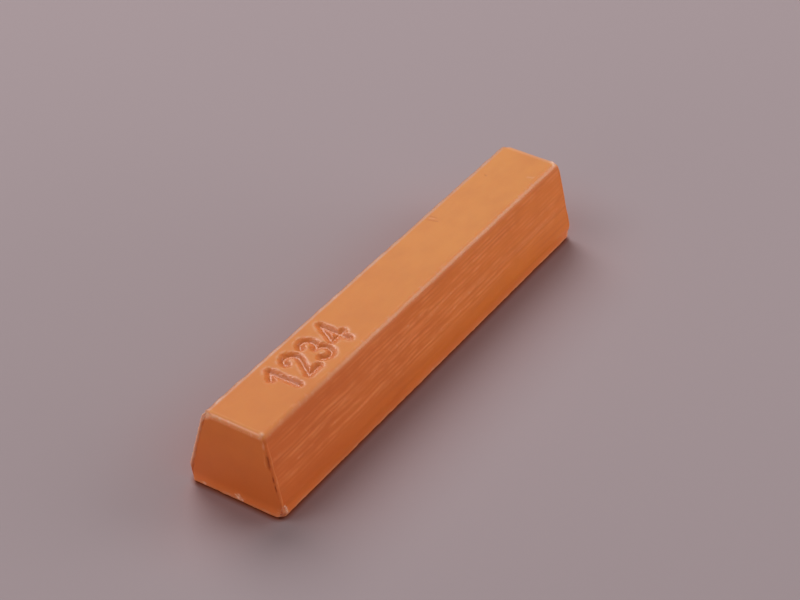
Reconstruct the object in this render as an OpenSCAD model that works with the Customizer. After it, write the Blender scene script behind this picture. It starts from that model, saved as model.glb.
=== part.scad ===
// Furniture repair wax stick: one solid bar of filler wax, cast in an open mould.
// It lies as it is stored, on its wide pour face, with the narrow number face up.
// The origin is the centre of the pour face, X runs along the bar and Z points up.

/* [Bar] */
// Length of the bar over its base
bar_length = 80; // [40:1:140]
// Width of the bar over its base
base_width = 15.3; // [12:0.1:24]
// Width of the number face, where its plane meets the planes of the sides
number_face_width = 9.7; // [6:0.1:11]
// Height from the base to the number face
bar_height = 13.6; // [8:0.1:20]

/* [Mould draft] */
// Height of the upright band round the base, where the mould opens
land_height = 2.4; // [0.8:0.1:4]
// Lean of the end faces above that band, in degrees
end_draft = 0.75; // [0.25:0.25:8]

/* [Edges] */
// Radius along the two long edges of the number face
long_edge_r = 1; // [0.3:0.05:2]
// Radius across the two short edges of the number face
short_edge_r = 0.8; // [0.3:0.05:2]
// Radius of the edges round the base
base_edge_r = 0.5; // [0.1:0.05:0.7]

/* [Hidden] */
$fn = 96;

// Length of the number face, where its plane meets the planes of the ends
number_face_length = bar_length - 2 * (bar_height - land_height) * tan(end_draft);
// How far a cutting prism runs past the bar at each end
overrun = 5;

// Outline of a mould cavity seen square on: an upright land, walls that lean in,
// and a floor with rounded corners. The cavity is upside down, as the bar lies.
module cavity_outline(foot, head, foot_r, head_r) {
    wall_lean = atan2((foot - head) / 2, bar_height - land_height);
    // distance from the sharp corner of the floor to where its rounding starts
    head_run = head_r * tan((90 - wall_lean) / 2);
    // centre of the rounding, measured from the middle of the head
    head_centre = [head / 2 - head_run, bar_height - head_r];
    wall_start = [
        head / 2 + head_run * sin(wall_lean),
        bar_height - head_run * cos(wall_lean)
    ];
    foot_centre = [foot / 2 - foot_r, foot_r];
    right_half = [
        [foot_centre.x, 0],
        [foot / 2, foot_centre.y],
        [foot / 2, land_height],
        wall_start,
        [head_centre.x, bar_height]
    ];
    left_half = [for (i = [len(right_half) - 1:-1:0]) [-right_half[i].x, right_half[i].y]];
    polygon(concat(right_half, left_half));
    for (side = [-1, 1]) {
        translate([side * head_centre.x, head_centre.y]) circle(r = head_r);
        translate([side * foot_centre.x, foot_centre.y]) circle(r = foot_r);
    }
}

// The bar's section, drawn out along its length
module section_prism() {
    rotate([90, 0, 90])
        linear_extrude(height = bar_length + 2 * overrun, center = true)
            cavity_outline(base_width, number_face_width, base_edge_r, long_edge_r);
}

// The bar's side view, drawn out across its width
module side_view_prism() {
    rotate([90, 0, 0])
        linear_extrude(height = base_width + 2 * overrun, center = true)
            cavity_outline(bar_length, number_face_length, base_edge_r, short_edge_r);
}

// The whole casting: its upright corners stay sharp, as the seams of a built-up mould leave them
module wax_stick() {
    color("peru")
        intersection() {
            section_prism();
            side_view_prism();
        }
}

wax_stick();
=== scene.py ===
"""Furniture repair wax stick: the looks of one cast bar of filler wax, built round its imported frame.

The bar is one closed skin, worked out in millimetres: a band that runs round the bar from the rim of
the number face to the rim of the base, and two filled faces. The pressed numerals, mould lines, seam
fins, chips and crumbs are moved vertices, so they are in the mesh and not only in the material.
"""

import math

import bpy
import numpy as np
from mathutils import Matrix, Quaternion, Vector, geometry, noise


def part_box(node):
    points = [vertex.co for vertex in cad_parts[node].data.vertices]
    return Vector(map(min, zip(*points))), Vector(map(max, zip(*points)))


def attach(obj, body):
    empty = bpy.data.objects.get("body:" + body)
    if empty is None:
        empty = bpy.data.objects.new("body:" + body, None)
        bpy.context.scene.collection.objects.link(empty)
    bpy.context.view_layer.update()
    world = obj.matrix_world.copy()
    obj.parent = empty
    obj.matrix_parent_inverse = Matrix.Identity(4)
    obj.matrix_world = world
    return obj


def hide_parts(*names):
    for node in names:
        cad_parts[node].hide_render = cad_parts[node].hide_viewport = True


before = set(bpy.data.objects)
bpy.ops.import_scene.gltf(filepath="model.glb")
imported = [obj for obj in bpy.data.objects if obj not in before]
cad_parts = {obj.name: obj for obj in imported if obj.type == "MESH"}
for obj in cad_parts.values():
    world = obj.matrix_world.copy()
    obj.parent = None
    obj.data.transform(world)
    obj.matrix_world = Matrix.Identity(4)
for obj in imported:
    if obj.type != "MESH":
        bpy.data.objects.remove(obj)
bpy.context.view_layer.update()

# Sizes of the bar in millimetres: the overall ones come from the frame
MM = 0.001
LOW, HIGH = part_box("wax_stick")
LENGTH = (HIGH.x - LOW.x) / MM
BASE_WIDTH = (HIGH.y - LOW.y) / MM
HEIGHT = (HIGH.z - LOW.z) / MM
NUMBER_FACE_WIDTH = 9.7
LAND_HEIGHT = 2.4
END_DRAFT = math.radians(0.75)
NUMBER_FACE_LENGTH = LENGTH - 2 * (HEIGHT - LAND_HEIGHT) * math.tan(END_DRAFT)
LONG_EDGE_R = 1.0
SHORT_EDGE_R = 0.8
# the base's rounded edges: how far in and how far up they go
LONG_BASE_EDGE = (0.55, 0.65)
END_BASE_EDGE = (0.65, 0.85)
# upright corners: nearly sharp on the walls, rounder at the number face, there from the far right one on
CORNER_R = 0.22
TOP_CORNER_R = (0.55, 1.0, 0.4, 0.9)
# rows below the rounded edge over which the corners sharpen
CORNER_ROWS = 12
# how softly the leaning walls turn into the upright land
LAND_BLEND = 0.06

# Camera: place in metres and aim in degrees, as the photograph was taken
CAMERA_PLACE = (-0.19962, -0.12616, 0.18541)
CAMERA_AZIMUTH = -57.874
CAMERA_ELEVATION = 36.723
CAMERA_ROLL = 0.724
CAMERA_LENS = 90.36
CAMERA_CLIP_START = 0.01

# Mesh density in rows and millimetres
ROUND_ROWS = 10
WALL_ROWS = 138
FOOT_ROWS = 9
CORNER_STEPS = 6
# steps along the right, far, left and near walls: at the ends, in the middle, and how soon they widen
WALL_STEPS = ((0.11, 0.55, 6.0), (0.13, 0.45, 2.0), (0.13, 0.95, 5.0), (0.09, 0.30, 2.0))
NUMERAL_STEP = 0.088
MARK_STEP = 0.13
FACE_STEP = 0.45
BASE_STEP = 1.6
# margins of the closer patches on the number face: round the numerals, and round each small mark
NUMERAL_MARGIN = 0.5
MARK_MARGIN = 0.4
# gaps in steps: between a patch and the wider points round it, and inside the base's rim
PATCH_GAP = 0.6
BASE_GAP = 0.4
# a ring of points this far inside the number face's rim keeps the face flat up to there
RIM_INSET = 0.12
# points of a flat face that are closer than this count as one
SAME_POINT = 1e-6

# The skin's regions, in the order that the band meets them
RIGHT, FAR_END, LEFT, NEAR_END, NUMBER_FACE, BASE = range(6)


def smooth_step(value, start, end):
    """0 up to start, 1 from end on, and an even curve between"""
    t = np.clip((value - start) / (end - start), 0.0, 1.0)
    return t * t * (3.0 - 2.0 * t)


def bell(value, centre, half_width):
    """1 at the centre, falling off evenly to both sides"""
    return np.exp(-(((value - centre) / half_width) ** 2))


def noise_field(points, period, seed):
    """Smooth noise, from about -1 to 1, at points in millimetres"""
    shift = Vector((17.3, 5.1, 11.7)) * seed
    return np.array([noise.noise(Vector(p) + shift) for p in points / period])


def two_noises(points, coarse, fine, seed):
    """Smooth noise of a coarse period with half as much of a fine one, which has the next seed"""
    return noise_field(points, coarse, seed) + 0.5 * noise_field(points, fine, seed + 1)


def noise_line(places, period, seed):
    """Smooth noise along a line"""
    grid = np.arange(np.min(places), np.max(places) + period / 8, period / 8)
    points = np.zeros((len(grid), 3))
    points[:, 0] = grid
    return np.interp(places, grid, noise_field(points, period, seed))


def patched(patches, patchiness):
    """1 throughout for a patchiness of 0, and the patches alone for 1"""
    return 1 - patchiness + patchiness * patches


# The band round the bar

def wall_profile(foot, head, head_r, base_edge):
    """(distance out, height) down one wall, from the number face's rim to the base's rim"""
    lean = math.atan2((foot - head) / 2, HEIGHT - LAND_HEIGHT)
    run = head_r * math.tan((math.pi / 2 - lean) / 2)
    turn = np.linspace(math.pi / 2, lean, ROUND_ROWS)
    round_out = head / 2 - run + head_r * np.cos(turn)
    round_z = HEIGHT - head_r + head_r * np.sin(turn)
    edge_run, edge_rise = base_edge
    wall_z = np.linspace(round_z[-1], edge_rise, WALL_ROWS)[1:]
    inset = (wall_z - LAND_HEIGHT) * math.tan(lean)
    wall_out = foot / 2 - LAND_BLEND * np.log1p(np.exp(inset / LAND_BLEND))
    turn = np.linspace(0.0, -math.pi / 2, FOOT_ROWS)[1:]
    foot_out = foot / 2 - edge_run + edge_run * np.cos(turn)
    foot_z = edge_rise + edge_rise * np.sin(turn)
    return np.concatenate([round_out, wall_out, foot_out]), np.concatenate([round_z, wall_z, foot_z])


def graded(span, fine, coarse, ramp):
    """Places from -1 to 1 along a span, closer together towards both its ends"""
    places = [0.0]
    while places[-1] < span / 2:
        from_end = span / 2 - places[-1]
        places.append(places[-1] + fine + (coarse - fine) * float(smooth_step(from_end, 0.0, ramp)))
    half = np.array(places) / places[-1]
    return np.concatenate([-half[:0:-1], half])


def ring_stations():
    """Stations round the bar, anticlockwise from above: each one's place on the plan's core rectangle,
    its way out from there, its corner radius at the number face, how much of an end wall it is, and its
    region"""
    core, out, top_r, end_share, region = [], [], [], [], []
    for side in (RIGHT, FAR_END, LEFT, NEAR_END):
        angle = math.radians(90 * (side - 1))
        normal = np.array([math.cos(angle), math.sin(angle)])
        along = np.array([-normal[1], normal[0]])
        is_end = side in (FAR_END, NEAR_END)
        first_r, last_r = TOP_CORNER_R[side - 1], TOP_CORNER_R[side]
        for place in graded(BASE_WIDTH if is_end else LENGTH, *WALL_STEPS[side]):
            core.append(normal + place * along)
            out.append(normal)
            top_r.append(first_r + (last_r - first_r) * (place + 1) / 2)
            end_share.append(float(is_end))
            region.append(side)
        for step in range(1, CORNER_STEPS):
            share = step / CORNER_STEPS
            turn = angle + share * math.pi / 2
            core.append(normal + along)
            out.append(np.array([math.cos(turn), math.sin(turn)]))
            top_r.append(last_r)
            end_share.append(1 - share if is_end else share)
            region.append(side if share < 0.5 else (side + 1) % 4)
    return tuple(np.array(values) for values in (core, out, top_r, end_share, region))


def band_points():
    """The band's points by row and station, and each station's region"""
    core, out, top_r, end_share, region = ring_stations()
    long_out, long_z = wall_profile(BASE_WIDTH, NUMBER_FACE_WIDTH, LONG_EDGE_R, LONG_BASE_EDGE)
    end_out, end_z = wall_profile(LENGTH, NUMBER_FACE_LENGTH, SHORT_EDGE_R, END_BASE_EDGE)
    rounder = 1 - smooth_step(np.arange(len(long_z)), 0, ROUND_ROWS + CORNER_ROWS)
    corner_r = CORNER_R + rounder[:, None] * (top_r - CORNER_R)
    extent = np.stack([end_out, long_out], 1)[:, None] - corner_r[..., None]
    plan = core * extent + out * corner_r[..., None]
    z = long_z[:, None] * (1 - end_share) + end_z[:, None] * end_share
    return np.concatenate([plan, z[..., None]], 2), region


def band_normals(band):
    """The band's outward normals by row and station"""
    down = np.gradient(band, axis=0)
    along = np.roll(band, -1, 1) - np.roll(band, 1, 1)
    normals = np.cross(down, along)
    return normals / np.linalg.norm(normals, axis=2)[..., None]


def band_faces(rows, stations):
    """The band's four-sided faces"""
    faces = []
    for above in range(0, (rows - 1) * stations, stations):
        below = above + stations
        for station in range(stations):
            after = (station + 1) % stations
            faces.append((above + station, below + station, below + after, above + after))
    return faces


# The two filled faces

def lattice(low, high, step):
    """Points in staggered rows over a rectangle"""
    rows = np.arange(low[1], high[1], step * math.sqrt(3) / 2)
    points = [
        (x, y)
        for k, y in enumerate(rows)
        for x in np.arange(low[0] + (k % 2) * step / 2, high[0], step)
    ]
    return np.array(points)


def inside_rim(points, rim, margin):
    """The points that lie inside a face's rim, which bulges all round, by a margin"""
    kept = np.ones(len(points), bool)
    for start, end in zip(rim, np.roll(rim, -1, 0)):
        way = (end - start) / np.linalg.norm(end - start)
        kept &= way[0] * (points[:, 1] - start[1]) - way[1] * (points[:, 0] - start[0]) > margin
    return points[kept]


def number_face_points(rim):
    """Points inside the number face: close round the numerals and marks and along the rim, and wider
    elsewhere"""
    reach_x = (len(NUMERALS) * NUMERAL_PITCH) / 2 + NUMERAL_MARGIN
    reach_y = NUMERAL_UP + STROKE_FLOOR + STROKE_WALL + NUMERAL_MARGIN
    x, y = NUMERAL_CENTRE
    patches = [((x - reach_x, y - reach_y), (x + reach_x, y + reach_y), NUMERAL_STEP)]
    for first, last, _, _ in FACE_MARKS:
        low = np.minimum(first, last) - MARK_MARGIN
        high = np.maximum(first, last) + MARK_MARGIN
        patches.append((low, high, MARK_STEP))
    reach = np.abs(rim).max(0)
    made = lattice(-reach, reach, FACE_STEP)
    for low, high, step in patches:
        gap = PATCH_GAP * step
        taken = ((made > np.array(low) - gap) & (made < np.array(high) + gap)).all(1)
        made = np.concatenate([made[~taken], lattice(low, high, step)])
    way = np.roll(rim, -1, 0) - np.roll(rim, 1, 0)
    inward = np.column_stack([-way[:, 1], way[:, 0]]) / np.linalg.norm(way, axis=1)[:, None]
    return np.concatenate([rim + RIM_INSET * inward, inside_rim(made, rim, 2 * RIM_INSET)])


def base_points(rim):
    """Points inside the base"""
    reach = np.abs(rim).max(0)
    return inside_rim(lattice(-reach, reach, BASE_STEP), rim, BASE_GAP * BASE_STEP)


def filled_face(rim, inner, first_rim, first_inner):
    """Triangles over a flat face, where the skin's numbers for its rim points and for its inner points
    start as given"""
    count = len(rim)
    numbers = [*range(first_rim, first_rim + count), *range(first_inner, first_inner + len(inner))]
    coords = [Vector(p) for p in np.concatenate([rim, inner])]
    loop = [(i, (i + 1) % count) for i in range(count)]
    made = geometry.delaunay_2d_cdt(coords, loop, [], 1, SAME_POINT)
    source = [numbers[origins[0]] for origins in made[3]]
    return [tuple(source[i] for i in face) for face in made[2]]


# The pressed numerals, a plain counting run

NUMERALS = "1234"
NUMERAL_CENTRE = (-22.4, 0.05)
NUMERAL_PITCH = 4.05
NUMERAL_DEPTH = 0.42
STROKE_FLOOR = 0.08
STROKE_WALL = 0.61
# shares of the full depth over which a stroke's wall sets in
WALL_START = (0.05, 0.3)
# how softly a wall turns into the floor and into the number face
FLOOR_BLEND = 0.025
RIM_BLEND = 0.16
# the raised lip round the strokes, and how patchy it is
LIP_HEIGHT = 0.06
LIP_WIDTH = 0.28
LIP_PATCHINESS = 0.8
# how far the strokes' edges wander, and how rough their walls are
STROKE_WANDER = 0.05
WALL_ROUGH = 0.034
# the gloss inside the strokes, and how far outside their rim it starts and stops to fade
NUMERAL_GLOSS = 0.85
GLOSS_FADE = (0.1, 0.4)
# half the height and half the width of a numeral's middle lines
NUMERAL_UP = 2.42
NUMERAL_SIDE = 1.18


def to_segment(x, y, start, end):
    """Distance from points to a straight stroke"""
    run = np.array([end[0] - start[0], end[1] - start[1]])
    share = np.clip(((x - start[0]) * run[0] + (y - start[1]) * run[1]) / (run @ run), 0.0, 1.0)
    return np.hypot(x - start[0] - share * run[0], y - start[1] - share * run[1])


def to_arc(x, y, centre, radius, start, sweep):
    """Distance from points to a round stroke that turns clockwise from start by sweep, in degrees"""
    angle = np.degrees(np.arctan2(y - centre[1], x - centre[0]))
    on_arc = (start - angle) % 360.0 <= sweep
    distance = np.abs(np.hypot(x - centre[0], y - centre[1]) - radius)
    tips = []
    for tip in (start, start - sweep):
        tip_x = centre[0] + radius * math.cos(math.radians(tip))
        tip_y = centre[1] + radius * math.sin(math.radians(tip))
        tips.append(np.hypot(x - tip_x, y - tip_y))
    return np.where(on_arc, distance, np.minimum(*tips))


def numeral_distance(numeral, x, y):
    """Distance from points to one numeral's middle lines, about the numeral's own centre"""
    up, side = NUMERAL_UP, NUMERAL_SIDE
    if numeral == "1":
        top = (0.35 * side, up)
        strokes = [
            to_segment(x, y, top, (top[0], -up)),
            to_segment(x, y, top, (-0.75 * side, 0.52 * up)),
        ]
    elif numeral == "2":
        bowl_y = up - side
        turn = (0.82 * side, bowl_y - 0.57 * side)
        heel = (-side, -up)
        strokes = [
            to_arc(x, y, (0.0, bowl_y), side, start=170.0, sweep=205.0),
            to_segment(x, y, turn, heel),
            to_segment(x, y, heel, (side, -up)),
        ]
    elif numeral == "3":
        small = 0.46 * up
        large = up - small
        strokes = [
            to_arc(x, y, (-0.1 * side, up - small), small, start=150.0, sweep=240.0),
            to_arc(x, y, (-0.1 * side, large - up), large, start=90.0, sweep=240.0),
        ]
    else:
        top = (0.5 * side, up)
        corner = (-1.2 * side, -0.36 * up)
        strokes = [
            to_segment(x, y, top, corner),
            to_segment(x, y, corner, (1.1 * side, corner[1])),
            to_segment(x, y, top, (top[0], -up)),
        ]
    return np.minimum.reduce(strokes)


def numerals(points):
    """Relief in mm of the pressed numerals, and their shares by name"""
    distance = np.full(len(points), np.inf)
    for k, numeral in enumerate(NUMERALS):
        x = points[:, 0] - NUMERAL_CENTRE[0] - (k - (len(NUMERALS) - 1) / 2) * NUMERAL_PITCH
        y = points[:, 1] - NUMERAL_CENTRE[1]
        distance = np.minimum(distance, numeral_distance(numeral, x, y))
    distance += STROKE_WANDER * two_noises(points, coarse=0.7, fine=0.25, seed=7)
    rim = STROKE_FLOOR + STROKE_WALL
    straight = (rim - distance) * NUMERAL_DEPTH / STROKE_WALL
    rounded = RIM_BLEND * np.logaddexp(0.0, straight / RIM_BLEND)
    depth = -FLOOR_BLEND * np.logaddexp(-rounded / FLOOR_BLEND, -NUMERAL_DEPTH / FLOOR_BLEND)
    share = np.clip(depth / NUMERAL_DEPTH, 0.0, 1.0)
    wall = smooth_step(share, *WALL_START)
    patches = smooth_step(two_noises(points, coarse=1.1, fine=0.4, seed=9), -0.4, 0.5)
    lip = bell(distance, rim + LIP_WIDTH, LIP_WIDTH) * patched(patches, LIP_PATCHINESS)
    rough = WALL_ROUGH * wall * noise_field(points, period=0.28, seed=12)
    gloss = NUMERAL_GLOSS * (1 - smooth_step(distance, rim + GLOSS_FADE[0], rim + GLOSS_FADE[1]))
    # the lip's pale colour is a painted sheen
    return lip * LIP_HEIGHT - depth + rough, {"wall": wall, "depth": share, "lip": lip, "gloss": gloss}


# Small marks on the number face: first and last point, height in mm (below 0 for a crease), half width
FACE_MARKS = (
    ((14.7, 4.15), (15.3, 2.2), -0.05, 0.11),
    ((15.8, 4.15), (16.0, 2.9), -0.045, 0.10),
    ((15.2, 4.10), (15.6, 3.0), 0.03, 0.13),
    ((30.2, 2.55), (30.3, 2.75), -0.06, 0.14),
    ((33.4, -3.1), (33.8, -4.0), 0.008, 0.20),
)


def face_marks(points):
    """Relief in mm of the small marks on the number face, and their shares by name"""
    relief = np.zeros(len(points))
    shares = {name: np.zeros(len(points)) for name in ("raised", "creased")}
    for first, last, height, half_width in FACE_MARKS:
        run = np.array(last) - np.array(first)
        share = np.clip((points[:, :2] - np.array(first)) @ run / (run @ run), 0.0, 1.0)
        aside = np.linalg.norm(points[:, :2] - np.array(first) - share[:, None] * run, axis=1)
        mark = bell(aside, 0.0, half_width)
        name = "raised" if height > 0 else "creased"
        relief += height * mark
        shares[name] = np.maximum(shares[name], mark)
    return relief, shares


def number_face(points, on_face):
    """Relief in mm of all that is on the number face, and its shares by name, for the whole skin"""
    relief = np.zeros(len(points))
    shares = {}
    for part in (numerals, face_marks):
        part_relief, part_shares = part(points[on_face])
        relief[on_face] += part_relief
        for name, values in part_shares.items():
            shares[name] = np.zeros(len(points))
            shares[name][on_face] = values
    return relief, shares


# The long sides' mould lines and ripple

# Random lines: how many, between which levels, and from which seed on
LINE_COUNT = 20
LINE_LEVELS = (3.2, 12.4)
LINE_SEED = 100
# ranges of their first X, length, climb along X, height and half width; some are grooves
LINE_STARTS = (-60.0, 15.0)
LINE_SPANS = (20.0, 60.0)
LINE_CLIMBS = (-0.002, 0.014)
LINE_HEIGHTS = (0.006, 0.018)
LINE_SIGNS = [1.0, 1.0, -0.8]
LINE_HALF_WIDTHS = (0.14, 0.28)
# the share of a line's length over which it fades at each end, and how patchy it is
LINE_FADE = 0.18
LINE_PATCHINESS = 0.7
# rows of the band over which the lines and the ripple set in
LINED_ROWS = (ROUND_ROWS - 2, ROUND_ROWS + 6)
# the height in mm from which a line's painted highlight shows in full
FULL_LINE = 0.03

# The plainest mould lines of the right side: first and last X, level at the first, rise, height
PLAIN_LINES = (
    (-40.0, -16.0, 8.05, 0.75, 0.034),
    (-17.0, -3.0, 8.75, 0.55, 0.042),
    (-8.0, 19.0, 8.90, 0.40, 0.042),
    (-35.0, -30.5, 6.90, -0.15, 0.026),
    (-27.5, -18.0, 6.85, -0.20, 0.036),
    (2.0, 17.0, 6.65, 0.40, 0.040),
    (-9.0, 0.5, 10.50, -0.35, 0.042),
    (5.0, 18.0, 10.55, 0.30, 0.034),
    (-39.0, -12.0, 5.60, 0.05, 0.020),
    (-3.0, 22.0, 5.55, -0.25, 0.030),
    (-19.5, -7.0, 12.30, -0.20, 0.020),
    (20.0, 39.0, 8.15, 0.05, 0.020),
    (18.0, 40.0, 6.60, 0.10, 0.022),
    (16.0, 39.0, 5.25, 0.00, 0.020),
)
PLAIN_LINE_HALF_WIDTH = 0.20

# The fine ripple between those lines: spacing and height in mm, climb along X, and where it sets in
RIPPLE_SEED = 500
RIPPLE_SPACING = 0.66
RIPPLE_HEIGHT = 0.016
RIPPLE_CLIMB = 0.010
RIPPLE_START = (3.6, 5.6)
# how patchy it is, and how much longer its patches are than tall
RIPPLE_PATCHINESS = 0.75
RIPPLE_STRETCH = 6.0
# how much stronger the ripple is half way along the bar, and how far along that reaches
RIPPLE_SWELL = 0.9
RIPPLE_SWELL_REACH = 18.0


def mould_line(along, level, first, last, start_level, rise, crest, half_width, seed):
    """One raised line along a side, in mm, that wavers, breaks up, and fades in and out"""
    share = (along - first) / (last - first)
    fade = LINE_FADE * (last - first)
    reach = smooth_step(along, first, first + fade) * (1 - smooth_step(along, last - fade, last))
    breaks = patched(smooth_step(noise_line(along, 2.4, seed), -0.3, 0.3), LINE_PATCHINESS)
    waver = 0.13 * noise_line(along, 5.0, seed + 0.3) + 0.08 * noise_line(along, 1.9, seed + 0.6)
    return crest * reach * breaks * bell(level, start_level + rise * share + waver, half_width)


def mould_lines(along, level, seed, plain_lines):
    """The raised lines that a planed mould wall leaves along a side, in mm"""
    draw = np.random.default_rng(seed)
    relief = np.zeros(len(along))
    for k in range(LINE_COUNT):
        share = (k + draw.uniform(0.1, 0.9)) / LINE_COUNT
        first = draw.uniform(*LINE_STARTS)
        span = draw.uniform(*LINE_SPANS)
        relief += mould_line(
            along,
            level,
            first,
            first + span,
            LINE_LEVELS[0] + share * (LINE_LEVELS[1] - LINE_LEVELS[0]),
            span * draw.uniform(*LINE_CLIMBS),
            draw.uniform(*LINE_HEIGHTS) * draw.choice(LINE_SIGNS),
            draw.uniform(*LINE_HALF_WIDTHS),
            seed=200 + k,
        )
    for k, line in enumerate(plain_lines):
        relief += mould_line(along, level, *line, PLAIN_LINE_HALF_WIDTH, seed=300 + k)
    return relief


def mould_ripple(along, level, seed):
    """The fine ripple of a planed mould wall, in patches: 0 in its hollows, and on its crests about 1
    towards the ends of the bar and about 2 half way along"""
    waver = 0.18 * noise_line(along, 8.0, seed) + 0.07 * noise_line(along, 2.4, seed + 0.3)
    turns = (level - RIPPLE_CLIMB * along - waver) / RIPPLE_SPACING
    turns += 0.45 * noise_line(level, 1.3, seed + 0.6)
    crest = 0.5 + 0.5 * np.cos(2 * math.pi * turns)
    spread = np.column_stack([along / RIPPLE_STRETCH, level, np.zeros(len(along))])
    patches = smooth_step(noise_field(spread, 1.4, seed + 1), -0.45, 0.45)
    beads = 0.8 + 1.4 * noise_field(spread * np.array((3.0, 1.0, 1.0)), 0.9, seed + 2)
    swell = 1 + RIPPLE_SWELL * bell(along, 0.0, RIPPLE_SWELL_REACH)
    strength = np.clip(patched(patches, RIPPLE_PATCHINESS) * beads, 0.0, 1.2) * swell
    return crest * strength * smooth_step(level, *RIPPLE_START)


def planed_sides(points, region, row):
    """Relief in mm of the long sides' lines and ripple, and their shares by name"""
    lines, ripple = np.zeros((2, len(points)))
    for side, plain_lines in ((RIGHT, PLAIN_LINES), (LEFT, ())):
        on_side = region == side
        along, level = points[on_side, 0], points[on_side, 2]
        on_wall = smooth_step(row[on_side], *LINED_ROWS)
        lines[on_side] = on_wall * mould_lines(along, level, LINE_SEED + side, plain_lines)
        ripple[on_side] = on_wall * mould_ripple(along, level, RIPPLE_SEED + side)
    # the lines' and the ripple's colour shares are painted highlights on their crests
    return lines + RIPPLE_HEIGHT * ripple, {"lines": lines / FULL_LINE, "ripple": ripple}


# Seams at the upright corners, where the mould's end plates met its sides

NEAR_RIGHT, NEAR_LEFT, FAR_RIGHT, FAR_LEFT = (-1, -1), (-1, 1), (1, -1), (1, 1)
# how far from its corner a seam is worked out, and over which height it fades at each end
SEAM_REACH = 2.0
SEAM_FADE = 0.8
# Each seam: corner, way from the corner at the seam's foot and head, half width, height (below 0 for a
# groove), first and last level, patchiness from 0 to 1, and the share that it adds to, with how much
# seam_groove adds painted shade, seam_lines painted highlight, seam_crumb pale colour with a painted
# glint, seam_fin painted grazing reflection
SEAMS = (
    (NEAR_RIGHT, -0.34, -0.42, 0.11, 0.12, 0.8, 12.8, 0.40, "seam_lines", 0.8),
    (NEAR_RIGHT, 0.08, 0.02, 0.08, -0.12, 4.6, 12.9, 0.80, "seam_groove", 0.5),
    (NEAR_RIGHT, 0.20, 0.12, 0.19, -0.32, 8.0, 10.8, 0.25, "seam_groove", 1.0),
    (NEAR_RIGHT, 0.10, 0.10, 0.13, -0.30, 6.1, 7.7, 0.00, "seam_groove", 1.0),
    (NEAR_RIGHT, 0.08, 0.08, 0.11, -0.26, 4.7, 6.3, 0.00, "seam_groove", 1.0),
    (NEAR_RIGHT, 0.78, 0.42, 0.13, 0.07, 8.2, 12.4, 0.70, "seam_lines", 0.6),
    (NEAR_RIGHT, 0.34, 0.20, 0.18, 0.03, 11.2, 13.5, 0.20, "seam_crumb", 0.22),
    (NEAR_LEFT, 0.05, 0.05, 0.17, 0.25, 0.4, 14.6, 0.15, "seam_crumb", 0.6),
    (NEAR_LEFT, 0.42, 0.36, 0.08, -0.08, 10.6, 13.6, 0.30, "seam_groove", 0.6),
    (NEAR_LEFT, 0.40, 0.44, 0.09, -0.08, 0.4, 4.0, 0.40, "seam_groove", 0.5),
    (FAR_RIGHT, 0.05, 0.05, 0.18, 0.15, 1.2, 13.4, 0.40, "seam_lines", 0.6),
    (FAR_LEFT, -0.25, -0.25, 0.15, 0.08, 1.2, 12.8, 0.60, "seam_fin", 0.5),
    (FAR_LEFT, 0.08, 0.08, 0.12, -0.16, 3.4, 11.9, 0.90, "seam_groove", 0.8),
)


def corner_way(points, region, corner):
    """How far from an upright corner a point lies: above 0 on the end wall, below 0 on the long wall"""
    rise = np.maximum(points[:, 2] - LAND_HEIGHT, 0.0)
    lean = (BASE_WIDTH - NUMBER_FACE_WIDTH) / 2 / (HEIGHT - LAND_HEIGHT)
    x_way = LENGTH / 2 - rise * math.tan(END_DRAFT) - np.abs(points[:, 0])
    y_way = BASE_WIDTH / 2 - rise * lean - np.abs(points[:, 1])
    on_end = (region == NEAR_END) | (region == FAR_END)
    here = (np.sign(points[:, 0]) == corner[0]) & (np.sign(points[:, 1]) == corner[1])
    return np.where(here & (region < NUMBER_FACE), np.where(on_end, y_way, -x_way), np.inf)


def seams(points, region):
    """Relief in mm of the mould's seams, and their shares by name"""
    relief = np.zeros(len(points))
    shares = {seam[-2]: np.zeros(len(points)) for seam in SEAMS}
    for k, seam in enumerate(SEAMS):
        corner, foot, head, half_width, height, low, high, patchiness, name, amount = seam
        way = corner_way(points, region, corner)
        near = np.abs(way) < SEAM_REACH
        z = points[near, 2]
        body = smooth_step(z, low, low + SEAM_FADE) * (1 - smooth_step(z, high - SEAM_FADE, high))
        patches = smooth_step(noise_line(z, 1.5, 3 + k) + 0.5 * noise_line(z, 0.5, 13 + k), -0.35, 0.35)
        middle = foot + (head - foot) * (z - low) / (high - low)
        middle += 0.08 * noise_line(z, 1.7, 23 + k) + 0.05 * noise_line(z, 0.6, 53 + k)
        width = half_width * np.clip(1.0 + 0.8 * noise_line(z, 1.1, 33 + k), 0.5, 1.5)
        mark = bell(way[near], middle, width) * body * patched(patches, patchiness)
        relief[near] += height * mark
        shares[name][near] = np.maximum(shares[name][near], amount * mark)
    return relief, shares


# Crumbs of wax that cling to the skin: place, reach and height in mm
CRUMBS = (
    ((-39.21, -4.30, 13.38), 0.20, 0.22),
    ((39.22, -4.32, 13.52), 0.30, 0.14),
    ((38.95, -4.58, 13.38), 0.20, 0.06),
    ((-39.98, -0.55, 1.02), 0.26, 0.26),
    ((-39.98, -0.50, 1.50), 0.14, 0.10),
    ((-39.98, -1.05, 0.82), 0.18, 0.14),
    ((-39.98, -1.30, 1.15), 0.10, 0.07),
    ((-39.98, -0.05, 1.25), 0.09, 0.06),
    ((-39.98, 5.3, 0.75), 0.16, 0.10),
    ((-39.22, -7.62, 2.35), 0.14, 0.14),
    ((-39.06, -7.62, 1.90), 0.18, 0.22),
    ((-38.90, -7.62, 1.45), 0.19, 0.24),
    ((-38.72, -7.62, 1.00), 0.16, 0.18),
    ((-35.1, -7.52, 2.80), 0.12, 0.06),
)
# how many times its reach a crumb is worked out to, and how strongly its pale colour with a painted
# glint shows
CRUMB_CUTOFF = 3.0
CRUMB_STRENGTH = 1.3

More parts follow.
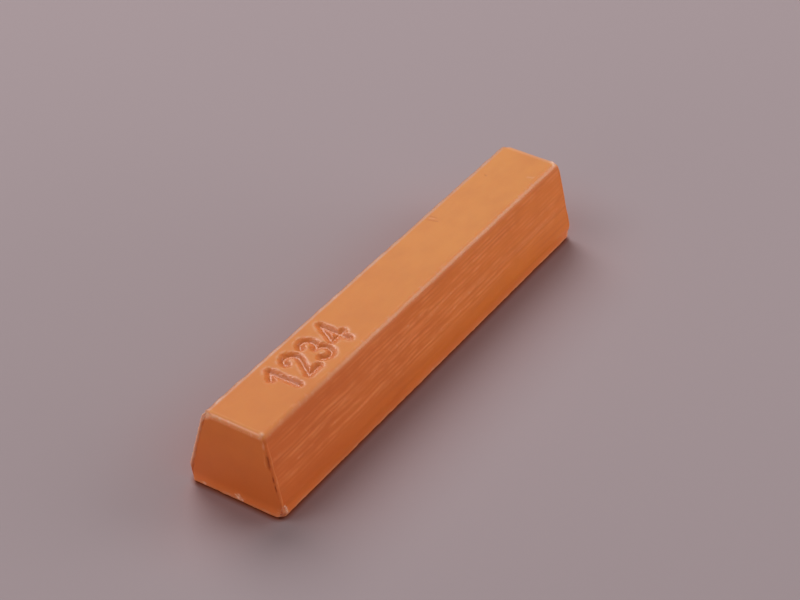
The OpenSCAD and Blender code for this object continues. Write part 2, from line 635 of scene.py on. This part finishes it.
# Crumbled places: middle, reach and depth in mm
CRUMBLES = (
    ((-39.9, -7.5, 1.30), 0.55, 0.16),
    ((39.5, -4.5, 13.30), 0.50, 0.12),
    ((39.5, 4.5, 13.30), 0.60, 0.14),
    ((39.9, -7.5, 1.10), 0.60, 0.18),
    ((39.9, 7.5, 1.10), 0.60, 0.22),
    ((-1.5, -7.65, 0.70), 0.35, 0.20),
)
CRUMBLE_CUTOFF = 2.5

# Chips: a point of the cut, its outward normal, how rough it is in mm, and how pale from 0 to 1; a cut
# that is not pale gets painted shade
CHIPS = (
    ((-39.37, 4.52, 13.50), (-0.88, 0.27, 0.39), 0.06, 0.90),
    ((-40.00, -7.10, 0.40), (-0.32, -0.92, -0.22), 0.10, 0.00),
    ((-39.99, 7.50, 3.00), (-0.52, 0.84, -0.15), 0.05, 0.80),
    ((39.35, -4.62, 13.33), (0.15, -0.55, 0.82), 0.05, 0.80),
    ((-39.62, -7.28, 0.58), (-0.50, -0.45, -0.74), 0.06, 0.00),
    ((39.85, -7.45, 0.60), (0.50, -0.60, -0.62), 0.05, 0.10),
)
CHIP_REACH = 3.0
# a chip's pale rim: strength, and middle and half width of the depth that it shows at
CHIP_RIM = 0.4
CHIP_RIM_DEPTH = (0.04, 0.07)
# depths over which a cut turns pale, and over which it gets painted shade
CHIP_PALE_DEPTH = (0.0, 0.15)
CHIP_DARK_DEPTH = (0.06, 0.2)


def crumbs(points):
    """Relief in mm of the crumbs, and their share by name"""
    relief, crumb = np.zeros((2, len(points)))
    for k, (place, reach, height) in enumerate(CRUMBS):
        distance = np.linalg.norm(points - np.array(place), axis=1)
        near = distance < CRUMB_CUTOFF * reach
        lumpy = 0.8 + 0.5 * noise_field(points[near], period=0.3, seed=40 + k)
        swell = bell(distance[near], 0.0, reach) * lumpy
        relief[near] += height * swell
        # pale crumbs with a painted glint
        crumb[near] = np.maximum(crumb[near], CRUMB_STRENGTH * swell)
    return relief, {"crumb": crumb}


def crumbles(points):
    """Relief in mm of the places where the wax has crumbled, and their pale share by name"""
    relief, pale = np.zeros((2, len(points)))
    for k, (place, reach, depth) in enumerate(CRUMBLES):
        distance = np.linalg.norm(points - np.array(place), axis=1)
        near = distance < CRUMBLE_CUTOFF * reach
        lumps = noise_field(points[near], period=0.55, seed=80 + k)
        bits = noise_field(points[near], period=0.24, seed=100 + k)
        share = bell(distance[near], 0.0, reach)
        relief[near] -= depth * share * np.clip(0.5 + 1.1 * lumps + 0.6 * bits, -0.3, 1.3)
        pale[near] = np.maximum(pale[near], share * smooth_step(bits + 0.7 * lumps, -0.05, 0.35))
    return relief, {"crumbled": pale}


def chipped(points, spared):
    """The points with the chips cut away but for a spared share, how pale the cuts are, and their
    painted shade, by name"""
    points = points.copy()
    pale, dark = np.zeros((2, len(points)))
    for k, (place, normal, rough, paleness) in enumerate(CHIPS):
        normal = np.array(normal) / np.linalg.norm(normal)
        near = np.linalg.norm(points - np.array(place), axis=1) < CHIP_REACH
        over = (points[near] - np.array(place)) @ normal
        over += rough * noise_field(points[near], period=0.45, seed=60 + k)
        over *= 1 - spared[near]
        inside = paleness * smooth_step(over, *CHIP_PALE_DEPTH)
        rim = CHIP_RIM * bell(over, *CHIP_RIM_DEPTH)
        pale[near] = np.maximum(pale[near], np.maximum(inside, rim))
        # painted shade on cuts that are not pale
        dark[near] = np.maximum(dark[near], (1 - paleness) ** 4 * smooth_step(over, *CHIP_DARK_DEPTH))
        points[near] -= np.maximum(over, 0.0)[:, None] * normal
    return points, {"cut_pale": pale, "painted_cut_shade": dark}


# The rounded edges and the foot

# A point's turn runs from 0 at the number face's rim to 1 at the foot of the rounded edge and below.
# The rounded edges' pale colour, partly wear and partly painted highlight: turns over which it sets in,
# and depths below the number face over which it fades, on the near end and elsewhere
NEAR_EDGE_START = (0.2, 0.45)
NEAR_EDGE_FADE = (0.2, 1.0)
EDGE_START = (0.0, 0.3)
EDGE_FADE = (0.2, 1.2)
# the same for their shine
SHINE_START = (0.25, 0.55)
SHINE_FADE = (0.3, 1.0)
# handling has dulled the right edge towards the near end: X over which that ends
HANDLED_END = (-36.0, -12.0)

# The casting's slight waves: height and period in mm, over all of the skin and along the rounded edges
WAVE = (0.030, 9.0)
FINE_WAVE = (0.006, 2.2)
EDGE_WAVE = (0.035, 1.4)

# Thin fins along the left and far edges: side, turn of the crest, and height in mm
FINS = ((LEFT, 0.55, 0.16), (FAR_END, 0.30, 0.12))
FIN_HALF_WIDTH = 0.22
FIN_PATCHINESS = 0.6
FIN_COLOUR_PATCHINESS = 0.4
# the bead along the base's edge: level, half width and height in mm
BEAD_LEVEL = 0.65
BEAD_HALF_WIDTH = 0.32
BEAD_HEIGHT = 0.05
# levels over which the foot's lighter colour ends, partly scuffed wax and partly painted light, and over
# which its ragged edge ends
FOOT_END = (1.2, 2.6)
RAGGED_END = (0.3, 0.8)
# the ragged edge's waves in mm, and how far in it stands
RAGGED_WAVE = (0.06, 0.8)
RAGGED_INSET = 0.01

# The near left seam keeps its head where a chip is cut: shares and levels over which it is spared
SPARED_SHARES = (0.1, 0.4)
SPARED_LEVELS = (8.0, 11.0)

# The far rim's painted highlight: X over which it sets in on the number face, and the turn that it
# reaches
FAR_RIM_START = (38.7, 39.05)
FAR_RIM_TURN = 0.5


def wave(points, size, seed):
    """Waves in mm of a height and period"""
    height, period = size
    return height * noise_field(points, period, seed)


def rounded_edges(points, region, turn):
    """Shares of the rounded edges, by name: past the number face, pale by wear and painted highlight,
    shiny and handled
    """
    on_band = region < NUMBER_FACE
    near_end = region == NEAR_END
    below_face = HEIGHT - points[:, 2]
    start = np.where(near_end, smooth_step(turn, *NEAR_EDGE_START), smooth_step(turn, *EDGE_START))
    near_fade = smooth_step(below_face, *NEAR_EDGE_FADE)
    fade = np.where(near_end, near_fade, smooth_step(below_face, *EDGE_FADE))
    shine = smooth_step(turn, *SHINE_START) * (1 - smooth_step(below_face, *SHINE_FADE))
    return {
        "past_face": start * on_band,
        "edge": start * on_band * (1 - fade),
        "shiny": shine * on_band,
        "handled": (region == RIGHT) * (1 - smooth_step(points[:, 0], *HANDLED_END)),
    }


def casting_waves(points, edge):
    """Relief in mm of the casting's slight waves, stronger along the rounded edges"""
    everywhere = wave(points, WAVE, seed=1) + wave(points, FINE_WAVE, seed=2)
    return everywhere + edge * wave(points, EDGE_WAVE, seed=5)


def fins_and_foot(points, region, row, turn, edge):
    """Relief in mm of the fins along two edges, the base's bead and the ragged foot, and their shares by
    name"""
    on_band = region < NUMBER_FACE
    patches = smooth_step(two_noises(points, coarse=1.6, fine=0.6, seed=14), -0.4, 0.4)
    fins, away = np.zeros((2, len(points)))
    for side, crest, height in FINS:
        on_side = region == side
        fins += height * bell(turn, crest, FIN_HALF_WIDTH) * on_side
        away += on_side
    fins *= (row < ROUND_ROWS) * patched(patches, FIN_PATCHINESS)
    bead = bell(points[:, 2], BEAD_LEVEL, BEAD_HALF_WIDTH) * on_band * patched(patches, FIN_PATCHINESS)
    ragged = (1 - smooth_step(points[:, 2], *RAGGED_END)) * on_band
    relief = fins + BEAD_HEIGHT * bead + ragged * (wave(points, RAGGED_WAVE, seed=6) - RAGGED_INSET)
    return relief, {
        "away": away,
        # painted grazing reflection along the fins
        "fin": edge * away * patched(patches, FIN_COLOUR_PATCHINESS),
        "bead": bead,
        # partly scuffed wax, partly painted light
        "foot": (1 - smooth_step(points[:, 2], *FOOT_END)) * on_band,
    }


# The whole skin

# What makes the wax pale, by wear and by painted sheen on the numerals' lips and painted highlight on
# the far rim, and what gets painted shade as in a groove, and how much
WORN_AND_SHEEN_BY = {"lip": 0.45, "raised": 0.4, "bead": 0.4, "far_rim": 0.4, "crumbled": 1.0, "cut_pale": 1.0}
GROOVE_SHADE_BY = {"seam_groove": 1.0, "painted_cut_shade": 0.8, "creased": 0.35}
# painted light: X over which the wax turns lighter towards the far end; on the near end, how much it
# turns lighter upwards and over which levels
LIGHT_GRADIENT_REACH = (-40.0, 32.0)
NEAR_END_LIGHT_GRADIENT = 0.6
NEAR_END_PALER_LEVELS = (2.4, 12.4)
# upward parts of a normal over which the number face's lighter colour sets in, painted light from above,
# and how much a numeral's wall takes from it, painting shade on the walls
TOP_LIGHT_TILT = (0.3, 0.95)
TOP_LIGHT_WALL_LOSS = 0.6
# how dull the handled edge is, how much of its pale colour (wear and painted highlight) it loses, and
# how much more the near end's edge has, as painted highlight
HANDLED_DULL = 0.7
HANDLED_LOSS = 0.4
NEAR_EDGE_HIGHLIGHT_GAIN = 0.75


def plain_skin():
    """The bar without marks: points in mm, outward normals, regions, rows (-1 off the band) and faces"""
    band, station_region = band_points()
    rows, stations = band.shape[:2]
    number_rim, base_rim = band[0, :, :2], band[-1, :, :2]
    number_inner = number_face_points(number_rim)
    base_inner = base_points(base_rim)
    band_count, number_count, base_count = rows * stations, len(number_inner), len(base_inner)
    points = np.concatenate([
        band.reshape(-1, 3),
        np.column_stack([number_inner, np.full(number_count, HEIGHT)]),
        np.column_stack([base_inner, np.zeros(base_count)]),
    ])
    normals = np.concatenate([
        band_normals(band).reshape(-1, 3),
        np.tile((0.0, 0.0, 1.0), (number_count, 1)),
        np.tile((0.0, 0.0, -1.0), (base_count, 1)),
    ])
    region = np.concatenate([
        np.tile(station_region, rows),
        np.full(number_count, NUMBER_FACE),
        np.full(base_count, BASE),
    ])
    row = np.concatenate([np.repeat(np.arange(rows), stations), np.full(number_count + base_count, -1)])
    faces = band_faces(rows, stations)
    faces += filled_face(number_rim, number_inner, 0, band_count)
    base_faces = filled_face(base_rim, base_inner, band_count - stations, band_count + number_count)
    faces += [face[::-1] for face in base_faces]
    return points, normals, region, row, faces


def wax_shares(points, normals, region, turn, marks):
    """The shares that the wax material reads, by name"""
    near_end = region == NEAR_END
    handled = marks["handled"]
    # painted light: lighter towards the far end, and upwards on the near end
    painted_light_gradient = smooth_step(points[:, 0], *LIGHT_GRADIENT_REACH)
    painted_light_gradient[near_end] = NEAR_END_LIGHT_GRADIENT * smooth_step(points[near_end, 2], *NEAR_END_PALER_LEVELS)
    on_top = (1 - marks["past_face"]) * (turn < 1) * (region != BASE)
    # more painted highlight on the near end's edge, less on the handled edge
    edge_gain = 1 + NEAR_EDGE_HIGHLIGHT_GAIN * near_end - HANDLED_LOSS * handled
    # pale by wear, by painted sheen on the lips and by painted highlight on the far rim
    worn_and_sheen = sum(amount * marks[name] for name, amount in WORN_AND_SHEEN_BY.items())
    grooved = [amount * marks[name] for name, amount in GROOVE_SHADE_BY.items()]
    return {
        "painted_light_gradient": painted_light_gradient,
        # painted light from above, with painted shade on the numerals' walls
        "painted_top_light": smooth_step(normals[:, 2], *TOP_LIGHT_TILT) * (1 - TOP_LIGHT_WALL_LOSS * marks["wall"]),
        "gloss": np.maximum(marks["gloss"], marks["shiny"] * (1 - handled)),
        "dull": np.maximum(on_top * (1 - marks["gloss"]), HANDLED_DULL * handled * marks["edge"]),
        "edge": marks["edge"] * edge_gain * (1 - marks["away"]),
        "fin": np.maximum(marks["fin"], marks["seam_fin"]),
        "lines": np.clip(marks["lines"] + marks["seam_lines"], 0.0, 1.0),
        "ripple": marks["ripple"],
        "planed": ((region == RIGHT) | (region == LEFT)) * turn,
        "wall": marks["wall"],
        "depth": marks["depth"],
        "worn_and_sheen": np.clip(worn_and_sheen, 0.0, 1.0),
        "crumb": np.clip(np.maximum(marks["crumb"], marks["seam_crumb"]), 0.0, 1.0),
        # painted shade in grooves, creases and chip cuts
        "groove": np.maximum.reduce(grooved),
        "foot": marks["foot"],
    }


def build_skin():
    """The bar's points in mm, its faces, and the shares that its material reads"""
    points, normals, region, row, faces = plain_skin()
    turn = np.clip(row / (ROUND_ROWS - 1), 0.0, 1.0)
    on_face = region == NUMBER_FACE
    marks = rounded_edges(points, region, turn)
    relief = casting_waves(points, marks["edge"])
    for part_relief, part_shares in (
        planed_sides(points, region, row),
        number_face(points, on_face),
        fins_and_foot(points, region, row, turn, marks["edge"]),
        crumbs(points),
        seams(points, region),
        crumbles(points),
    ):
        relief += part_relief
        marks.update(part_shares)
    relief[region == BASE] = 0.0

    spared = smooth_step(marks["seam_crumb"], *SPARED_SHARES) * smooth_step(points[:, 2], *SPARED_LEVELS)
    points, cuts = chipped(points + relief[:, None] * normals, spared)
    points[:, 2] = np.maximum(points[:, 2], 0.0)
    marks.update(cuts)
    # painted highlight along the far rim
    rim_on_face = on_face * smooth_step(points[:, 0], *FAR_RIM_START)
    marks["far_rim"] = np.maximum(rim_on_face, (region == FAR_END) * (turn < FAR_RIM_TURN))
    return points, faces, wax_shares(points, normals, region, turn, marks)


# Materials

SIDE_COLOUR = (0.645, 0.133, 0.021, 1.0)
# painted light: the side colour, lighter towards the far end
MORE_LIT_SIDE_COLOUR = (0.72, 0.178, 0.022, 1.0)
# painted light from above: the number face's colour is lighter than the sides'
NUMBER_FACE_COLOUR = (0.680, 0.200, 0.022, 1.0)
# painted light: the number face colour, lighter towards the far end
MORE_LIT_NUMBER_FACE_COLOUR = (0.712, 0.254, 0.050, 1.0)
SHADE_COLOUR = (0.48, 0.088, 0.016, 1.0)
# partly scuffed wax, partly painted light along the foot
FOOT_WEAR_AND_LIGHT_COLOUR = (0.79, 0.184, 0.040, 1.0)
# painted highlight on the crests of the mould lines and the ripple
LINE_HIGHLIGHT_COLOUR = (0.86, 0.255, 0.075, 1.0)
# partly wear, partly painted highlight on the rounded edges
EDGE_WEAR_AND_HIGHLIGHT_COLOUR = (0.86, 0.330, 0.150, 1.0)
# partly the rougher pressed wax, partly painted sheen on the numerals' walls
WALL_BLOOM_AND_SHEEN_COLOUR = (0.74, 0.290, 0.160, 1.0)
# painted grazing reflection along the thin fins
FIN_REFLECTION_COLOUR = (0.55, 0.285, 0.200, 1.0)
PALE_COLOUR = (0.80, 0.400, 0.250, 1.0)
# pale crumbs with a painted glint
CRUMB_GLINT_COLOUR = (0.97, 0.600, 0.430, 1.0)
# painted shade in grooves, creases, chip cuts and the numerals' depth
RECESS_SHADE_COLOUR = (0.34, 0.034, 0.004, 1.0)

# Noise textures: how often they repeat per metre along X, Y and Z, and how detailed they are
TEXTURES = {
    "cloud": ((150.0, 260.0, 260.0), 3.0),
    "grain": ((3000.0, 3000.0, 3000.0), 2.0),
    "streak": ((70.0, 1100.0, 1100.0), 1.0),
    "fleck": ((1300.0, 1300.0, 1300.0), 1.0),
}

# Layers of colour over the faces' own, from the lowest up: the texture or share that a layer follows,
# its factor and offset, the share that it is kept to, if any, and its colour
LAYERS = (
    # partly scuffed wax, partly painted light along the foot
    ("foot", 0.7, 0.0, None, FOOT_WEAR_AND_LIGHT_COLOUR),
    ("cloud", 0.6, -0.25, None, SHADE_COLOUR),
    ("streak", 0.9, -0.43, "planed", SHADE_COLOUR),
    # painted highlight on the ripple's crests
    ("ripple", 0.36, 0.0, None, LINE_HIGHLIGHT_COLOUR),
    # painted shade in grooves, creases and chip cuts
    ("groove", 0.8, 0.0, None, RECESS_SHADE_COLOUR),
    # partly the rougher pressed wax, partly painted sheen on the numerals' walls
    ("wall", 0.15, 0.0, None, WALL_BLOOM_AND_SHEEN_COLOUR),
    # painted shade, darker deeper in the numerals
    ("depth", 0.09, 0.0, None, RECESS_SHADE_COLOUR),
    # partly wear, partly painted highlight on the rounded edges
    ("edge", 0.48, 0.0, None, EDGE_WEAR_AND_HIGHLIGHT_COLOUR),
    ("fleck", 2.0, -1.15, "edge", PALE_COLOUR),
    # painted highlight on the mould lines' crests
    ("lines", 0.56, 0.0, None, LINE_HIGHLIGHT_COLOUR),
    ("fleck", 1.6, -0.95, "lines", PALE_COLOUR),
    # wear, with painted sheen on the numerals' lips and painted highlight on the far rim
    ("worn_and_sheen", 0.85, 0.0, None, PALE_COLOUR),
    # painted grazing reflection along the thin fins
    ("fin", 0.85, 0.0, None, FIN_REFLECTION_COLOUR),
    # pale crumbs with a painted glint
    ("crumb", 1.0, 0.0, None, CRUMB_GLINT_COLOUR),
)

# Roughness: factor and offset for the grain, and what dull and glossy places add
GRAIN_ROUGHNESS = (0.16, 0.28)
DULL_ROUGHNESS = 0.26
GLOSS_ROUGHNESS = -0.12


def node(tree, kind, **values):
    """A shader node with its input sockets set by name"""
    made = tree.nodes.new(kind)
    for name, value in values.items():
        made.inputs[name.replace("_", " ")].default_value = value
    return made


def share_of(tree, name):
    """The socket that gives one of the skin's shares"""
    made = tree.nodes.new("ShaderNodeAttribute")
    made.attribute_name = name
    return made.outputs["Fac"]


def scaled(tree, socket, factor, offset=0.0, kept=True):
    """A socket times a factor, plus an offset, kept from 0 to 1 unless told otherwise"""
    made = tree.nodes.new("ShaderNodeMath")
    made.operation = "MULTIPLY_ADD"
    made.use_clamp = kept
    tree.links.new(socket, made.inputs[0])
    made.inputs[1].default_value = factor
    made.inputs[2].default_value = offset
    return made.outputs[0]


def joined(tree, operation, first, second):
    """Two sockets put together by a math node's operation"""
    made = tree.nodes.new("ShaderNodeMath")
    made.operation = operation
    tree.links.new(first, made.inputs[0])
    tree.links.new(second, made.inputs[1])
    return made.outputs[0]


def mixed(tree, share, first, second):
    """One colour turning into another by a share; each is a colour or a socket"""
    made = tree.nodes.new("ShaderNodeMix")
    made.data_type = "RGBA"
    tree.links.new(share, made.inputs["Factor"])
    for name, value in (("A", first), ("B", second)):
        socket = next(s for s in made.inputs if s.name == name and s.type == "RGBA")
        if isinstance(value, tuple):
            socket.default_value = value
        else:
            tree.links.new(value, socket)
    return next(s for s in made.outputs if s.type == "RGBA")


def noise_texture(tree, place, scale, detail):
    """The socket of a noise texture; scale is how often it repeats per metre along X, Y and Z"""
    mapping = node(tree, "ShaderNodeMapping", Scale=scale)
    tree.links.new(place, mapping.inputs["Vector"])
    made = node(tree, "ShaderNodeTexNoise", Scale=1.0, Detail=detail, Roughness=0.55)
    tree.links.new(mapping.outputs["Vector"], made.inputs["Vector"])
    return made.outputs["Fac"]


def wax_material(share_names):
    """Satin cast wax, with colour that changes by wear, and with painted light and shade by face and
    depth
    """
    material = bpy.data.materials.new("wax")
    material.use_nodes = True
    tree = material.node_tree
    shader = tree.nodes["Principled BSDF"]
    place = tree.nodes.new("ShaderNodeTexCoord").outputs["Object"]
    sockets = {name: share_of(tree, name) for name in share_names}
    for name, (scale, detail) in TEXTURES.items():
        sockets[name] = noise_texture(tree, place, scale, detail)

    # painted light: lighter towards the far end and up the near end
    side = mixed(tree, sockets["painted_light_gradient"], SIDE_COLOUR, MORE_LIT_SIDE_COLOUR)
    top = mixed(tree, sockets["painted_light_gradient"], NUMBER_FACE_COLOUR, MORE_LIT_NUMBER_FACE_COLOUR)
    # painted light from above: the number face's lighter colour on upward faces, less on the numerals'
    # walls
    colour = mixed(tree, sockets["painted_top_light"], side, top)
    for followed, factor, offset, kept_to, layer_colour in LAYERS:
        amount = scaled(tree, sockets[followed], factor, offset)
        if kept_to:
            amount = joined(tree, "MULTIPLY", sockets[kept_to], amount)
        colour = mixed(tree, amount, colour, layer_colour)
    tree.links.new(colour, shader.inputs["Base Color"])

    roughness = scaled(tree, sockets["grain"], *GRAIN_ROUGHNESS)
    roughness = joined(tree, "ADD", roughness, scaled(tree, sockets["dull"], DULL_ROUGHNESS))
    glossy = scaled(tree, sockets["gloss"], GLOSS_ROUGHNESS, kept=False)
    tree.links.new(joined(tree, "ADD", roughness, glossy), shader.inputs["Roughness"])
    shader.inputs["IOR"].default_value = 1.48
    shader.inputs["Subsurface Weight"].default_value = 0.2
    shader.inputs["Subsurface Radius"].default_value = (1.0, 0.35, 0.12)
    shader.inputs["Subsurface Scale"].default_value = 0.0006

    fine = node(tree, "ShaderNodeBump", Strength=0.12, Distance=0.00004)
    tree.links.new(sockets["grain"], fine.inputs["Height"])
    brushed = node(tree, "ShaderNodeBump", Strength=0.15, Distance=0.00003)
    planed_streak = joined(tree, "MULTIPLY", sockets["planed"], sockets["streak"])
    tree.links.new(planed_streak, brushed.inputs["Height"])
    tree.links.new(fine.outputs["Normal"], brushed.inputs["Normal"])
    tree.links.new(brushed.outputs["Normal"], shader.inputs["Normal"])
    return material


def make_bar():
    """The bar as one piece in the frame's place"""
    points, faces, shares = build_skin()
    mesh = bpy.data.meshes.new("wax_bar")
    mesh.from_pydata((points * MM).tolist(), [], faces)
    mesh.polygons.foreach_set("use_smooth", np.ones(len(mesh.polygons), bool))
    for name, values in shares.items():
        attribute = mesh.attributes.new(name, "FLOAT", "POINT")
        attribute.data.foreach_set("value", values.astype(np.float32))
    mesh.materials.append(wax_material(shares))
    mesh.update()
    bar = bpy.data.objects.new("wax_bar", mesh)
    bpy.context.scene.collection.objects.link(bar)
    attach(bar, "root")
    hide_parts("wax_stick")


# Floor, light and camera

FLOOR_COLOUR = (0.389, 0.311, 0.325, 1.0)
# what the floor gives back to the bar, a little darker than what the camera sees
FLOOR_BOUNCE_COLOUR = (0.38, 0.31, 0.32, 1.0)
FLOOR_HALF = 3.0
# the floor's painted shades beside the bar: colour, reach in metres, and strength, for the painted tint
# that the wax throws on the floor and for the painted dark line under the rounded base edges
FLOOR_SHADES = (
    ((0.37, 0.160, 0.145, 1.0), 0.018, 0.8),
    ((0.27, 0.088, 0.048, 1.0), 0.0008, 1.5),
)
WORLD_COLOUR = (1.0, 1.0, 1.0, 1.0)
WORLD_LEVEL = 0.11
# Softboxes: name, way from the bar, distance, width and height in metres, power in watts, seen in gloss
SOFTBOXES = (
    ("key_box", (0.40, 0.55, 0.735), 0.90, 0.62, 0.62, 5.60, True),
    ("right_box", (0.665, -0.60, 0.45), 0.60, 0.45, 0.45, 1.00, True),
    ("left_box", (-0.47, 0.43, 0.77), 0.70, 0.36, 0.36, 1.12, True),
    ("end_fill", (-0.98, 0.10, 0.09), 1.08, 0.90, 0.162, 2.95, False),
    ("side_fill", (0.40, -0.88, 0.12), 0.90, 0.90, 0.18, 3.08, False),
)


def floor_material():
    """A plain pale floor, with painted shade beside the bar"""
    material = bpy.data.materials.new("floor")
    material.use_nodes = True
    tree = material.node_tree
    shader = tree.nodes["Principled BSDF"]
    light_path = tree.nodes.new("ShaderNodeLightPath")
    seen = light_path.outputs["Is Camera Ray"]
    for name in ("Is Glossy Ray", "Is Transmission Ray"):
        seen = joined(tree, "MAXIMUM", seen, light_path.outputs[name])
    colour = mixed(tree, seen, FLOOR_BOUNCE_COLOUR, FLOOR_COLOUR)
    # painted shade and tint beside the bar, from the occlusion
    for shade, reach, strength in FLOOR_SHADES:
        openness = node(tree, "ShaderNodeAmbientOcclusion", Distance=reach).outputs["AO"]
        colour = mixed(tree, scaled(tree, openness, -strength, strength), colour, shade)
    tree.links.new(colour, shader.inputs["Base Color"])
    shader.inputs["Roughness"].default_value = 0.9
    shader.inputs["Specular IOR Level"].default_value = 0.0
    return material


def make_floor():
    """The floor that the bar lies on"""
    half = FLOOR_HALF
    corners = [(-half, -half, 0), (half, -half, 0), (half, half, 0), (-half, half, 0)]
    mesh = bpy.data.meshes.new("floor")
    mesh.from_pydata(corners, [], [(0, 1, 2, 3)])
    mesh.materials.append(floor_material())
    floor = bpy.data.objects.new("floor", mesh)
    bpy.context.scene.collection.objects.link(floor)


def make_light():
    """An even sky and soft lamps round the bar"""
    world = bpy.data.worlds.new("studio")
    bpy.context.scene.world = world
    world.use_nodes = True
    sky = world.node_tree.nodes["Background"]
    sky.inputs["Color"].default_value = WORLD_COLOUR
    sky.inputs["Strength"].default_value = WORLD_LEVEL
    for name, way, distance, width, height, power, in_gloss in SOFTBOXES:
        lamp = bpy.data.lights.new(name, "AREA")
        lamp.shape = "ELLIPSE"
        lamp.size = width
        lamp.size_y = height
        lamp.energy = power
        box = bpy.data.objects.new(name, lamp)
        box.location = Vector(way).normalized() * distance
        box.rotation_mode = "QUATERNION"
        box.rotation_quaternion = (-Vector(way)).to_track_quat("-Z", "Y")
        box.visible_camera = False
        box.visible_glossy = in_gloss
        bpy.context.scene.collection.objects.link(box)


def make_camera():
    """The photograph's view"""
    azimuth, elevation = math.radians(CAMERA_AZIMUTH), math.radians(CAMERA_ELEVATION)
    ahead = Vector((
        -math.sin(azimuth) * math.cos(elevation),
        math.cos(azimuth) * math.cos(elevation),
        -math.sin(elevation),
    ))
    data = bpy.data.cameras.new("camera")
    data.lens = CAMERA_LENS
    data.clip_start = CAMERA_CLIP_START
    camera = bpy.data.objects.new("camera", data)
    camera.location = CAMERA_PLACE
    camera.rotation_mode = "QUATERNION"
    roll = Quaternion((0, 0, 1), math.radians(CAMERA_ROLL))
    camera.rotation_quaternion = ahead.to_track_quat("-Z", "Y") @ roll
    bpy.context.scene.collection.objects.link(camera)
    bpy.context.scene.camera = camera


make_camera()
make_bar()
make_floor()
make_light()
bpy.context.scene.view_settings.view_transform = "Standard"
